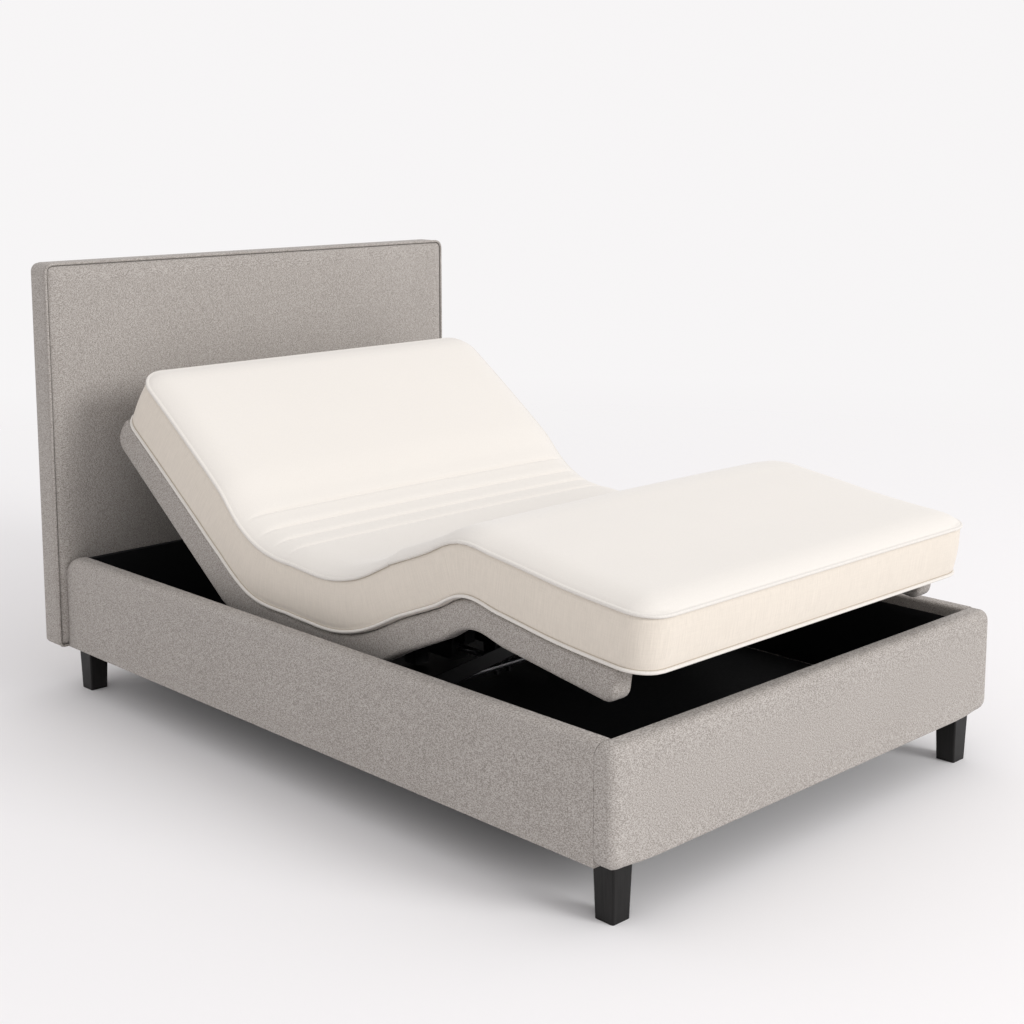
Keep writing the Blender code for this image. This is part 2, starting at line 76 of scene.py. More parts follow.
# rows close to the cuts, so that the shading runs on from piece to piece
BESIDE_CUTS = [at + d for at in (MID_SEAT, MID_THIGH) for d in (-0.002, 0.002)]
ROW_STEP = 0.016                         # between the rows of a bending piece
LEAST_ROW_GAP = 0.0012
BEND_ROUNDS = 60                         # rounds in which a raised point settles into the bend


# ------------------------------------------------------------------ sizes and colours
class BedSizes(bpy.types.PropertyGroup):
    crown: bpy.props.FloatProperty(
        name="Mattress crown", description="Rise of the mattress top above its piping",
        default=0.027, min=0.0, max=0.03, unit="LENGTH")
    piping: bpy.props.FloatProperty(
        name="Piping radius", description="Radius of the cord sewn round the mattress edges",
        default=0.0042, min=0.001, max=0.006, unit="LENGTH")
    welt: bpy.props.FloatProperty(
        name="Headboard welt", description="Radius of the welt round the headboard's front panel",
        default=0.0038, min=0.001, max=0.006, unit="LENGTH")
    channel: bpy.props.FloatProperty(
        name="Quilting depth", description="Depth of the sewn channels across the mattress",
        default=0.0055, min=0.0, max=0.008, unit="LENGTH")
    rail_round: bpy.props.FloatProperty(
        name="Rail rounding", description="Radius of the upper outer edge of the surround",
        default=0.022, min=0.005, max=0.025, unit="LENGTH")
    bar_round: bpy.props.FloatProperty(
        name="Deck bar rounding", description="Radius of the long edges of the padded deck bars",
        default=0.012, min=0.003, max=0.016, unit="LENGTH")


class BedColours(bpy.types.PropertyGroup):
    linen: bpy.props.FloatVectorProperty(
        name="Linen", description="Main colour of the woven upholstery", subtype="COLOR",
        size=3, min=0, max=1, default=(0.345, 0.318, 0.294))
    linen_light: bpy.props.FloatVectorProperty(
        name="Linen, light threads", description="Colour of the light threads in the weave",
        subtype="COLOR", size=3, min=0, max=1, default=(0.475, 0.445, 0.418))
    linen_dark: bpy.props.FloatVectorProperty(
        name="Linen, dark threads", description="Colour of the dark threads in the weave",
        subtype="COLOR", size=3, min=0, max=1, default=(0.225, 0.203, 0.184))
    cream: bpy.props.FloatVectorProperty(
        name="Mattress top", description="Colour of the knitted mattress top", subtype="COLOR",
        size=3, min=0, max=1, default=(0.705, 0.672, 0.628))
    ticking: bpy.props.FloatVectorProperty(
        name="Mattress side", description="Colour of the woven band round the mattress",
        subtype="COLOR", size=3, min=0, max=1, default=(0.665, 0.605, 0.530))
    # near-black: the boards' own black, made dark enough to stand in for the shade inside the box as well
    black: bpy.props.FloatVectorProperty(
        name="Black boards", description="Colour of the inner boards and linings", subtype="COLOR",
        size=3, min=0, max=1, default=(0.006, 0.006, 0.0065))
    leg: bpy.props.FloatVectorProperty(
        name="Legs", description="Colour of the lacquered legs", subtype="COLOR",
        size=3, min=0, max=1, default=(0.0065, 0.006, 0.0058))


def clamp(t):
    return min(1.0, max(0.0, t))


def ease(t):
    """Smooth step from 0 to 1, for a number or an array already between them."""
    return t * t * (3 - 2 * t)


def tint(colour, factor):
    return tuple(min(1.0, v * factor) for v in colour)


def sizes():
    return bpy.context.scene.bed_sizes


def colours():
    return bpy.context.scene.bed_colours


# ------------------------------------------------------------------ shader expressions
class Sock:
    """A shader socket that can be used in sums."""

    def __init__(self, maker, socket):
        self.maker, self.socket = maker, socket

    def _math(self, how, other):
        return self.maker.node("ShaderNodeMath", {"operation": how}, [self, other])

    def __add__(self, other):
        return self._math("ADD", other)

    def __mul__(self, other):
        return self._math("MULTIPLY", other)


class Finish:
    """One material and the means to add nodes to it."""

    def __init__(self, name):
        self.material = bpy.data.materials.new(name)
        self.material.use_nodes = True
        self.tree = self.material.node_tree
        self.shader = self.tree.nodes["Principled BSDF"]

    def node(self, kind, settings, inputs=(), out=0):
        made = self.tree.nodes.new(kind)
        for key, value in settings.items():
            setattr(made, key, value)
        pairs = inputs.items() if isinstance(inputs, dict) else enumerate(inputs)
        for key, value in pairs:
            self.feed(made.inputs[key], value)
        return Sock(self, made.outputs[out])

    def feed(self, socket, value):
        if isinstance(value, Sock):
            self.tree.links.new(value.socket, socket)
        elif hasattr(value, "__len__") and len(value) == 3 and len(socket.default_value) == 4:
            socket.default_value = (*value, 1.0)
        else:
            socket.default_value = value

    def set(self, **values):
        for key, value in values.items():
            self.feed(self.shader.inputs[key.replace("_", " ")], value)

    def place(self, stretch=(1, 1, 1)):
        """Where a point lies on the flat, unbent piece."""
        where = self.node("ShaderNodeAttribute", {"attribute_name": "lay_flat"}, out="Vector")
        return self.node("ShaderNodeVectorMath", {"operation": "MULTIPLY"}, [where, stretch])

    def spot(self, stretch=(1, 1, 1)):
        where = self.node("ShaderNodeTexCoord", {}, out="Object")
        return self.node("ShaderNodeVectorMath", {"operation": "MULTIPLY"}, [where, stretch])

    def noise(self, where, scale, detail=2.0, rough=0.5):
        return self.node("ShaderNodeTexNoise", {"noise_dimensions": "3D"},
                         {"Vector": where, "Scale": scale, "Detail": detail, "Roughness": rough})

    def level(self, value, low, high, to_low=0.0, to_high=1.0):
        return self.node("ShaderNodeMapRange", {"clamp": True},
                         {0: value, 1: low, 2: high, 3: to_low, 4: to_high})

    def mix(self, share, a, b):
        return self.node("ShaderNodeMix", {"data_type": "RGBA"}, {0: share, 6: a, 7: b}, out=2)

    def bump(self, height, depth, strength=1.0):
        self.set(Normal=self.node("ShaderNodeBump", {}, {"Strength": strength, "Distance": depth,
                                                         "Height": height}))


def linen_finish():
    f = Finish("melange_linen")
    wide = f.noise(f.place((240, 240, 760)), 1.0, 1.0)
    tall = f.noise(f.place((700, 700, 260)), 1.0, 1.0)
    fine_mottle = f.noise(f.place((1500, 1500, 260)), 1.0, 1.0, 0.5)
    cross = f.noise(f.place((260, 260, 1500)), 1.0, 1.0, 0.5)
    cloud = f.noise(f.place(), 4.0, 1.0)
    grain = wide * 0.58 + tall * 0.42
    weave = fine_mottle * 0.5 + cross * 0.5
    tone = grain * 0.70 + weave * 0.30 + cloud * 0.02
    light = f.level(tone, 0.51, 0.585)
    dark = f.level(tone, 0.51, 0.435)
    c = colours()
    f.set(Base_Color=f.mix(dark, f.mix(light, tuple(c.linen), tuple(c.linen_light)),
                           tuple(c.linen_dark)),
          Roughness=f.level(weave, 0.35, 0.65, 0.82, 0.95),
          Sheen_Weight=0.10, Sheen_Roughness=0.5, Specular_IOR_Level=0.2)
    f.bump(grain * 0.6 + weave * 0.4, 0.0009, 0.35)
    return f.material


def cream_finish(name, colour, ribbed):
    f = Finish(name)
    soft = f.noise(f.place(), 7.0, 2.0)
    fine = f.noise(f.place(), 650.0, 1.0)
    if ribbed:
        rib = f.noise(f.place((420, 420, 14)), 1.0, 2.0, 0.6)
        weft = f.noise(f.place((30, 30, 900)), 1.0, 1.0)
        pattern = rib * 0.7 + weft * 0.3
    else:
        rib = f.noise(f.place((620, 160, 200)), 1.0, 2.0, 0.6)
        pattern = rib * 0.5 + fine * 0.5
    shade = f.level(pattern + soft * 0.10, 0.38, 0.68)
    deep = tint(colour, 0.93 if ribbed else 0.97)
    pale = tint(colour, 1.03 if ribbed else 1.02)
    f.set(Base_Color=f.mix(shade, deep, pale), Roughness=f.level(fine, 0.3, 0.7, 0.72, 0.88),
          Sheen_Weight=0.30, Sheen_Roughness=0.5, Specular_IOR_Level=0.25)
    f.bump(pattern, 0.0009 if ribbed else 0.0006, 0.5)
    return f.material


def black_board_finish():
    f = Finish("black_board")
    grain = f.noise(f.spot((60, 400, 400)), 1.0, 3.0)
    # the near-black base is also painted shade for the inside of the box
    base = tuple(colours().black)
    f.set(Base_Color=f.mix(f.level(grain, 0.35, 0.7), base, tint(base, 1.8)),
          Roughness=f.level(grain, 0.3, 0.7, 0.62, 0.80), Specular_IOR_Level=0.2)
    f.bump(grain, 0.0004, 0.3)
    return f.material


def lacquer_finish():
    f = Finish("black_lacquer")
    base = tuple(colours().leg)
    grain = f.noise(f.spot((240, 240, 12)), 1.0, 3.0)
    wear = f.noise(f.spot(), 30.0, 2.0)
    f.set(Base_Color=f.mix(f.level(grain, 0.35, 0.7), base, tint(base, 1.9)),
          Roughness=f.level(wear, 0.3, 0.7, 0.30, 0.42), Specular_IOR_Level=0.22)
    f.bump(grain, 0.0003, 0.25)
    return f.material


def metal_finish(name, colour, rough, metal, grain_scale):
    f = Finish(name)
    grain = f.noise(f.spot(), grain_scale, 3.0)
    f.set(Base_Color=f.mix(f.level(grain, 0.3, 0.7), colour, tint(colour, 1.25)),
          Roughness=f.level(grain, 0.3, 0.7, rough, rough + 0.12), Metallic=metal)
    f.bump(grain, 0.0002, 0.25)
    return f.material


def piping_finish():
    f = Finish("cream_piping")
    colour = tint(colours().cream, 0.97)
    twist = f.noise(f.place((300, 300, 300)), 1.0, 1.0)
    f.set(Base_Color=f.mix(f.level(twist, 0.35, 0.65), tint(colour, 0.93), colour),
          Roughness=f.level(twist, 0.3, 0.7, 0.55, 0.7), Sheen_Weight=0.2)
    f.bump(twist, 0.0004, 0.3)
    return f.material


# A thin darker line for the faces beside a cord: painted shade in the groove where the cord meets the
# cloth, with a faint mottle.
def shadow_line_finish(name, colour):
    f = Finish(name)
    fine_mottle = f.noise(f.place((700, 700, 700)), 1.0, 1.0)
    f.set(Base_Color=f.mix(f.level(fine_mottle, 0.35, 0.65), tint(colour, 0.8), colour),
          Roughness=0.8)
    return f.material


_made = {}


def finish(name):
    """Each finish is made once, the first time that a piece asks for it."""
    if name not in _made:
        c = colours()
        makers = {
            "linen": linen_finish,
            "top": lambda: cream_finish("knitted_top", tuple(c.cream), False),
            "band": lambda: cream_finish("woven_band", tuple(c.ticking), True),
            "piping": piping_finish,
            # painted shade: a dark line on the faces in the grooves either side of the headboard's welt
            # cord
            "welt_shade": lambda: shadow_line_finish("welt_groove_painted_shade", (0.150, 0.136, 0.124)),
            # painted shadow: a darker line on the faces just beside the mattress piping
            "piping_painted_shade": lambda: shadow_line_finish("piping_painted_shade", (0.50, 0.435, 0.355)),
            "black_board": black_board_finish,
            "satin_leg": lacquer_finish,
            "black_metal": lambda: metal_finish("powder_coat", (0.008, 0.008, 0.0085), 0.55, 0.2, 900),
            "steel": lambda: metal_finish("ground_steel", (0.50, 0.50, 0.51), 0.26, 1.0, 500),
            "drive_plastic": lambda: metal_finish("moulded_plastic", (0.012, 0.012, 0.013), 0.48, 0.0, 700),
        }
        _made[name] = makers[name]()
    return _made[name]


# ------------------------------------------------------------------ padded slab
def spread(low, high, step, extra=()):
    """Evenly spaced stations from low to high, with some of its own added."""
    count = max(2, int(round((high - low) / step)))
    marks = [low + (high - low) * i / count for i in range(count + 1)]
    marks += [m for m in extra if low < m < high]
    kept = []
    for m in sorted(marks):
        if not kept or m - kept[-1] > LEAST_ROW_GAP:
            kept.append(m)
    kept[-1] = high
    return kept


def corner_marks(end, radius, inward, count=7):
    """Stations that follow a round corner, from the end of a slab inwards."""
    return [end + inward * radius * (1 - math.cos(math.pi / 2 * i / count)) for i in range(count + 1)]


def inset(v, end, radius, inward):
    """How far a side is drawn in at v by a round corner at the end."""
    depth = (v - end) * inward
    if radius <= 0 or depth >= radius:
        return 0.0
    return radius - math.sqrt(max(0.0, radius * radius - (radius - depth) ** 2))


COLUMNS = [0, .008, .017, .027, .039, .053, .07, .092, .12, .16, .21, .27, .335, .41, .5]
COLUMNS = COLUMNS + [1 - c for c in reversed(COLUMNS[:-1])]


class Slab:
    """A padded slab: a plan outline in u and v, an edge profile round it and a crowned top in w."""

    def __init__(self, stations, profile, crown, cut=(False, False), columns=COLUMNS):
        self.cut, self.profile = cut, profile
        n, m = len(stations), len(columns)
        path = [(i, 0) for i in range(n)]
        if not cut[1]:
            path += [(n - 1, j) for j in range(1, m - 1)]
        path += [(i, m - 1) for i in range(n - 1, -1, -1)]
        if not cut[0]:
            path += [(0, j) for j in range(m - 2, 0, -1)]
        plan = np.array([[[lo + (hi - lo) * c, v] for c in columns] for v, lo, hi in stations])
        rim = np.array([plan[i, j] for i, j in path])
        ahead, behind = np.roll(rim, -1, 0), np.roll(rim, 1, 0)
        if cut[1]:
            ahead[n - 1], behind[n] = rim[n - 1], rim[n]
        if cut[0]:
            ahead[-1], behind[0] = rim[-1], rim[0]
        run = ahead - behind
        normal = np.stack([-run[:, 1], run[:, 0]], 1)
        normal /= np.maximum(np.linalg.norm(normal, axis=1), 1e-9)[:, None]
        centre = plan.reshape(-1, 2).mean(0)
        middle = rim[n // 2] - centre
        if normal[n // 2] @ middle < 0:
            normal = -normal
        self.points, self.faces, self.kinds = [], [], []
        rings = []
        for spot, out in zip(rim, normal):
            ring = []
            for offset, w in profile(*spot):
                ring.append(len(self.points))
                self.points.append((spot[0] + out[0] * offset, spot[1] + out[1] * offset, w))
            rings.append(ring)
        levels = len(rings[0])
        where = {key: k for k, key in enumerate(path)}
        lo_v, hi_v = stations[0][0], stations[-1][0]
        top, bottom = {}, {}
        for grid, level in ((top, -1), (bottom, 0)):
            for i, j in path:
                grid[i, j] = rings[where[i, j]][level]
            self.fill(grid, n, m, columns, [row[0] for row in stations], crown if level else None)
        for i in range(n - 1):
            for j in range(m - 1):
                self.add("top", top[i, j], top[i, j + 1], top[i + 1, j + 1], top[i + 1, j])
                self.add("bottom", bottom[i, j], bottom[i + 1, j], bottom[i + 1, j + 1], bottom[i, j + 1])
        count = len(rings)
        for k in range(count):
            nxt = (k + 1) % count
            if (k == n - 1 and cut[1]) or (k == count - 1 and cut[0]):
                continue
            for level in range(levels - 1):
                self.add(level, rings[k][level], rings[k][level + 1], rings[nxt][level + 1],
                         rings[nxt][level])
        for end, i in ((0, 0), (1, n - 1)):
            if cut[end]:
                left, right = rings[where[i, 0]], rings[where[i, m - 1]]
                loop = (left + [top[i, j] for j in range(1, m - 1)] + right[::-1]
                        + [bottom[i, j] for j in range(m - 2, 0, -1)])
                self.add("cut", *loop)

    def add(self, kind, *corners):
        self.faces.append(corners)
        self.kinds.append(kind)

    NEARNESS = 90.0                      # per metre, how sharply the nearest edge wins

    def fill(self, grid, n, m, columns, marks, crown):
        """Points of a broad face, spread evenly between the points already round its border."""
        def at(i, j):
            return np.array(self.points[grid[i, j]]) if (i, j) in grid else None
        across = {i: [(1 - c) * at(i, 0) + c * at(i, m - 1) for c in columns] for i in (0, n - 1)}
        ends = {i: [at(i, j) if (i, j) in grid else across[i][j] for j in range(m)] for i in (0, n - 1)}
        for i in range(n):
            t = (marks[i] - marks[0]) / (marks[-1] - marks[0])
            for j, c in enumerate(columns):
                if (i, j) in grid:
                    continue
                side = (1 - c) * at(i, 0) + c * at(i, m - 1)
                slip = (1 - t) * (ends[0][j] - across[0][j]) + t * (ends[n - 1][j] - across[n - 1][j])
                p = side + slip
                reach = [p[0] - at(i, 0)[0], at(i, m - 1)[0] - p[0]]
                reach += [] if self.cut[0] else [p[1] - ends[0][j][1]]
                reach += [] if self.cut[1] else [ends[n - 1][j][1] - p[1]]
                k = self.NEARNESS
                near = -math.log(sum(math.exp(-k * max(0.0, r)) for r in reach)) / k
                rise = crown(p[0], p[1], max(0.0, near)) if crown else 0.0
                grid[i, j] = len(self.points)
                self.points.append((p[0], p[1], p[2] + rise))


def signed_volume(points, faces):
    """Positive when the faces of a closed shell look outwards."""
    total = 0.0
    for face in faces:
        a = Vector(points[face[0]])
        for b, c in zip(face[1:-1], face[2:]):
            total += a.dot(Vector(points[b]).cross(Vector(points[c])))
    return total


def smooth_mesh(name, flat, placed, faces, slots, which, sharp):
    """A shaded mesh that remembers where each point lies on the flat piece."""
    mesh = bpy.data.meshes.new(name)
    mesh.from_pydata([tuple(p) for p in placed], [], faces)
    mesh.validate()
    if signed_volume(placed, faces) < 0:
        mesh.flip_normals()
    for s in slots:
        mesh.materials.append(finish(s))
    for poly, slot, hard in zip(mesh.polygons, which, sharp):
        poly.use_smooth = not hard
        poly.material_index = slot
    lay = mesh.attributes.new("lay_flat", "FLOAT_VECTOR", "POINT")
    lay.data.foreach_set("vector", np.array(flat, np.float32).ravel())
    ob = bpy.data.objects.new(name, mesh)
    bpy.context.scene.collection.objects.link(ob)
    hard_edges = {key for poly, hard in zip(mesh.polygons, sharp) if hard for key in poly.edge_keys}
    for edge in mesh.edges:
        edge.use_edge_sharp = edge.key in hard_edges
    return ob


def turn(point, line, angle):
    dy, dz = point[..., 0] - line[0], point[..., 1] - line[1]
    c, s = np.cos(angle), np.sin(angle)
    return np.stack([line[0] + dy * c - dz * s, line[1] + dy * s + dz * c], -1)


def aim(line, angle, before, after):
    """Start and end of a bend: two points either side of the hinge, along one direction."""
    d = np.array([math.cos(angle), math.sin(angle)])
    line = np.array(line)
    return line - d * before, line + d * after


KNEE_RAISED = turn(np.array(KNEE_LINE), THIGH_LINE, THIGH_ANGLE)
BENDS = {
    "back": dict(line=BACK_LINE, angle=BACK_ANGLE, bodies=("base", "back_section"),
                 span=aim(BACK_LINE, math.radians(6), 0.190, 0.145)),
    "thigh": dict(line=THIGH_LINE, angle=THIGH_ANGLE, bodies=("base", "thigh_section"),
                  span=aim(THIGH_LINE, math.radians(175), 0.194, 0.200)),
    "knee": dict(line=KNEE_LINE, angle=KNEE_ANGLE, bodies=("thigh_section", "calf_section"),
                 span=aim(KNEE_RAISED, math.radians(171), 0.110, 0.105)),
}

# how far the padding sags or rises on the flat deck, and how deep the mattress is, along its length
SAG = ((0.00, 0.003), (0.12, -0.008), (0.24, -0.015), (0.36, -0.013), (0.48, -0.014), (0.60, -0.014),
       (0.72, -0.009), (0.84, -0.005), (0.96, -0.001), (1.08, -0.012), (1.20, -0.015), (1.32, 0.0105),
       (1.44, 0.0105), (1.56, -0.007), (1.68, -0.004), (1.80, -0.006), (1.92, -0.007), (2.04, -0.010),
       (2.16, -0.013))
DEPTH = ((0.0, 0.131), (0.3, 0.134), (0.6, 0.128), (0.9, 0.135), (1.2, 0.138), (1.5, 0.154),
         (1.8, 0.159), (2.1, 0.158))


def along(table, y, width):
    """A smooth curve through a short table of (distance, value)."""
    weights = [math.exp(-((y - at) / width) ** 2) for at, _ in table]
    return sum(w * value for w, (_, value) in zip(weights, table)) / sum(weights)


def sag(y):
    return along(SAG, y, 0.10)


def depth(y):
    return along(DEPTH, y, 0.22)


def share(points, span):
    d = span[1] - span[0]
    return ease(np.clip(((points - span[0]) @ d) / (d @ d), 0, 1))


def raise_points(flat, bend):
    """Carry points drawn on the flat deck to the raised pose, bending them across the hinge."""
    flat = np.array([(q[1], q[2]) for q in flat])
    spec = BENDS[bend]
    w = np.zeros(len(flat))
    for _ in range(BEND_ROUNDS):
        moved = turn(flat, spec["line"], w * spec["angle"])
        if bend == "knee":
            moved = turn(moved, THIGH_LINE, THIGH_ANGLE)
        w += 0.6 * (share(moved, spec["span"]) - w)
    return moved


def bent_piece(name, slab, to_bed, bend, slots, pick):
    """Place a slab on the deck and raise it, bent across one hinge."""
    flat = [to_bed(*p) for p in slab.points]
    raised = raise_points(flat, bend)
    placed = [(q[0], r[0] - MID, r[1]) for q, r in zip(flat, raised)]
    ob = smooth_mesh(name, flat, placed, slab.faces, slots, [pick(k) for k in slab.kinds],
                     [k == "cut" for k in slab.kinds])
    start, end = BENDS[bend]["span"]
    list(BENDS[bend]["bodies"])
    start[0] - MID
    end[0] - MID
    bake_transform(ob)
    return ob


def fixed_piece(name, slab, to_bed, slots, pick, body="base"):
    flat = [to_bed(*p) for p in slab.points]
    placed = [(x, y - MID, z) for x, y, z in flat]
    ob = smooth_mesh(name, flat, placed, slab.faces, slots, [pick(k) for k in slab.kinds],
                     [k == "cut" for k in slab.kinds])
    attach(ob, body)
    return ob


def quarter(radius, steps, w_edge, upward=True):
    """Edge rounding as (offset, w) pairs that ends on the flat face at w_edge."""
    out = []
    for i in range(steps + 1):
        a = math.pi / 2 * i / steps
        out.append((-radius * (1 - math.cos(a)), w_edge - radius * (1 - math.sin(a))))
    if not upward:
        out = [(o, w_edge - (w - w_edge)) for o, w in reversed(out)]
    return out


# ------------------------------------------------------------------ the pieces
class BED_OT_headboard(bpy.types.Operator):
    """Upholstered headboard with a welted front panel"""
    bl_idname = "bed.headboard"
    bl_label = "Headboard"

    def execute(self, context):
        low, high = HEADBOARD_LOW, HEADBOARD_HIGH
        thick, r = high.y - low.y, sizes().welt
        top_r, low_r = 0.026, 0.014
        marks = spread(low.z, high.z, 0.03,
                       corner_marks(high.z, top_r, -1) + corner_marks(low.z, low_r, 1))
        stations = []
        for z in marks:
            draw_in = inset(z, high.z, top_r, -1) + inset(z, low.z, low_r, 1)
            stations.append((z, low.x + draw_in, high.x - draw_in))
        edge = [(-0.012, 0.0), (-0.006, 0.0022), (-0.0015, 0.008), (0.0, 0.016), (0.0, thick * 0.35),
                (0.0, thick * 0.6), (-0.0004, thick - 0.020), (-0.0018, thick - 0.0125),
                (-0.0036, thick - 0.0100), (-0.0040, thick - 0.0092)]
        cx, cw = -0.0030, thick - 0.0052
        cord = [(cx + r * math.cos(a), cw + r * math.sin(a)) for a in
                [math.radians(d) for d in range(-60, 181, 24)]]
        edge += cord + [(-0.0072, thick - 0.0082), (-0.0090, thick - 0.0055), (-0.013, thick - 0.0022)]

        def crown(u, v, near):
            return 0.0062 * (1 - math.exp(-near / 0.018)) + 0.001 * (1 - math.exp(-near / 0.20))
        slab = Slab(stations, lambda u, v: edge, crown)
        # levels 8 and 9, and the two levels after the cord, are the grooves either side of the welt; they
        # take the dark colour as painted shade
        kinds = {8: 1, 9: 1, len(edge) - 4: 1, len(edge) - 3: 1}
        ob = fixed_piece("headboard_cover", slab,
                         lambda u, v, w: (u, high.y + MID - w, v), ["linen", "welt_shade"],
                         lambda k: kinds.get(k, 0) if isinstance(k, int) else 0)
        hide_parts("headboard")
        return {"FINISHED"}


class BED_OT_surround(bpy.types.Operator):
    """Padded side rails and footboard"""
    bl_idname = "bed.surround"
    bl_label = "Side rails and footboard"

    def execute(self, context):
        thick = HALF_WIDTH - RAIL_INSIDE
        big = sizes().rail_round
        y0, y1 = thick + 0.0006, HEADBOARD_LOW.y + MID - 0.0006
        head_r = 0.046
        marks = spread(y0, y1, 0.05, corner_marks(y1, head_r, -1, 9))
        stations = [(y, RAIL_LOW, RAIL_HIGH - inset(y, y1, head_r, -1)) for y in marks]
        columns = [0, .02, .05, .1, .2, .32, .45, .58, .7, .8, .87, .92, .955, .98, 1]

        def rail_profile(u, v):
            top = clamp((u - RAIL_LOW - 0.10) / 0.10)
            end = clamp((RAIL_HIGH - u) / head_r) if v > y1 - head_r else 0.0
            low = 0.002 + 0.006 * min(1.0, (u - RAIL_LOW) / 0.03)
            outer = (0.002 + (big - 0.002) * top) * (1 - end) + low * end
            inner = 0.001 + 0.008 * top * (1 - end)
            return quarter(inner, 4, 0.0, False) + [(0.0, thick * 0.4)] + quarter(outer, 7, thick - 0.0016)

        def crown(u, v, near):
            return 0.0016 * (1 - math.exp(-near / 0.03))
        slab = Slab(stations, rail_profile, crown, cut=(True, False), columns=columns)
        for side, s in (("left", -1), ("right", 1)):
            ob = fixed_piece("rail_cover_" + side, slab,
                             lambda u, v, w, s=s: (s * (RAIL_INSIDE + w), v, u), ["linen"], lambda k: 0)
            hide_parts("side_rail_" + side)
        end_r = 0.030
        marks = spread(-HALF_WIDTH, HALF_WIDTH, 0.05, corner_marks(-HALF_WIDTH, end_r, 1, 4)
                       + corner_marks(HALF_WIDTH, end_r, -1, 4))
        stations = [(x, RAIL_LOW + inset(x, -HALF_WIDTH, end_r, 1) + inset(x, HALF_WIDTH, end_r, -1),
                     RAIL_HIGH - inset(x, -HALF_WIDTH, end_r, 1) - inset(x, HALF_WIDTH, end_r, -1))
                    for x in marks]

        def foot_profile(u, v):
            away = ease(clamp((HALF_WIDTH - end_r - abs(v)) / 0.10))
            outer = big if u > RAIL_LOW + 1e-4 else big + (0.006 - big) * away
            inner = 0.001 + 0.007 * clamp((u - RAIL_LOW) / 0.05) * clamp((HALF_WIDTH - abs(v)) / 0.05)
            return quarter(inner, 4, 0.0, False) + [(0.0, thick * 0.4)] + quarter(outer, 7, thick - 0.0016)
        slab = Slab(stations, foot_profile, crown, columns=columns)
        ob = fixed_piece("footboard_cover", slab, lambda u, v, w: (v, thick - w, u), ["linen"], lambda k: 0)
        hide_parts("footboard")
        return {"FINISHED"}


class BED_OT_shade_boards(bpy.types.Operator):
    """Black lining boards inside the surround, so near-black that they also stand in for the shade inside
    the box
    """
    bl_idname = "bed.linings"
    bl_label = "Shade boards"

    def execute(self, context):
        thick = HALF_WIDTH - RAIL_INSIDE
        reach = HEADBOARD_LOW.y + MID - 0.019
        # the side boards stop 30 mm below the crest and the foot board 18 mm below, so a band of linen
        # shows above the near-black painted shade
        low, high = RAIL_LOW + 0.012, RAIL_HIGH - 0.030

        def board(name, stations, to_bed):
            edge = quarter(0.0008, 2, 0.0, False) + quarter(0.0008, 2, 0.0026)
            slab = Slab(stations, lambda u, v: edge, lambda u, v, near: 0.0, columns=[0, .1, .5, .9, 1])
            ob = fixed_piece(name, slab, to_bed, ["black_board"], lambda k: 0)
        for side, s in (("left", -1), ("right", 1)):
            board("lining_" + side, [(y, low, high) for y in spread(thick + 0.004, reach, 0.3)],
                  lambda u, v, w, s=s: (s * (RAIL_INSIDE - 0.0004 - w), v, u))
        across = spread(-RAIL_INSIDE + 0.004, RAIL_INSIDE - 0.004, 0.3)
        board("lining_foot", [(x, low, high + 0.012) for x in across],
              lambda u, v, w: (v, thick + 0.0004 + w, u))
        return {"FINISHED"}


class BED_OT_deck_bars(bpy.types.Operator):
    """Padded side bars of the deck, bending at the hinges"""
    bl_idname = "bed.deck_bars"
    bl_label = "Deck side bars"

    def execute(self, context):
        deck = 0.399
        inner_x, outer_x = 0.540, 0.600
        r = sizes().bar_round
        head, foot = 2.106, 0.055
        columns = [0, .06, .13, .22, .35, .5, .65, .78, .87, .94, 1]
        thick = outer_x - inner_x

        def profile(u, v):
            return quarter(r, 5, 0.0, False) + [(0.0, thick * 0.5)] + quarter(r, 5, thick - 0.0012)

        def crown(u, v, near):
            return 0.0012 * (1 - math.exp(-near / 0.030))

        def under(y):
            back = ease(clamp((y - BACK_LINE[0]) / 0.10))
            leg = ease(clamp((THIGH_LINE[0] - y) / 0.08))
            return deck - 0.075 - 0.027 * back - 0.010 * leg

        def line(y0, y1, extra):
            out = []
            for y in spread(y0, y1, ROW_STEP, extra + BESIDE_CUTS):
                low = under(y) + inset(y, head, 0.040, -1) + inset(y, foot, 0.028, 1)
                high = deck + sag(y) - inset(y, head, 0.020, -1) - inset(y, foot, 0.018, 1)
                out.append((y, low, high))
            return out
        parts = (
            ("back", MID_SEAT, head, corner_marks(head, 0.040, -1),
             (True, False), ("back_side_pad",)),
            ("thigh", MID_THIGH, MID_SEAT, [], (True, True), ("seat_side_pad", "thigh_side_pad")),
            ("knee", foot, MID_THIGH, corner_marks(foot, 0.028, 1, 5),
             (False, True), ("calf_side_pad",)),
        )
        for bend, y0, y1, extra, cut, stands_for in parts:
            slab = Slab(line(y0, y1, extra), profile, crown, cut=cut, columns=columns)
            for side, s in (("left", -1), ("right", 1)):
                ob = bent_piece("deck_bar_%s_%s" % (bend, side), slab,
                                lambda u, v, w, s=s: (s * (inner_x + w), v, u), bend, ["linen"],
                                lambda k: 0)
                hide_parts(*["%s_%s" % (n, side) for n in stands_for])
        return {"FINISHED"}


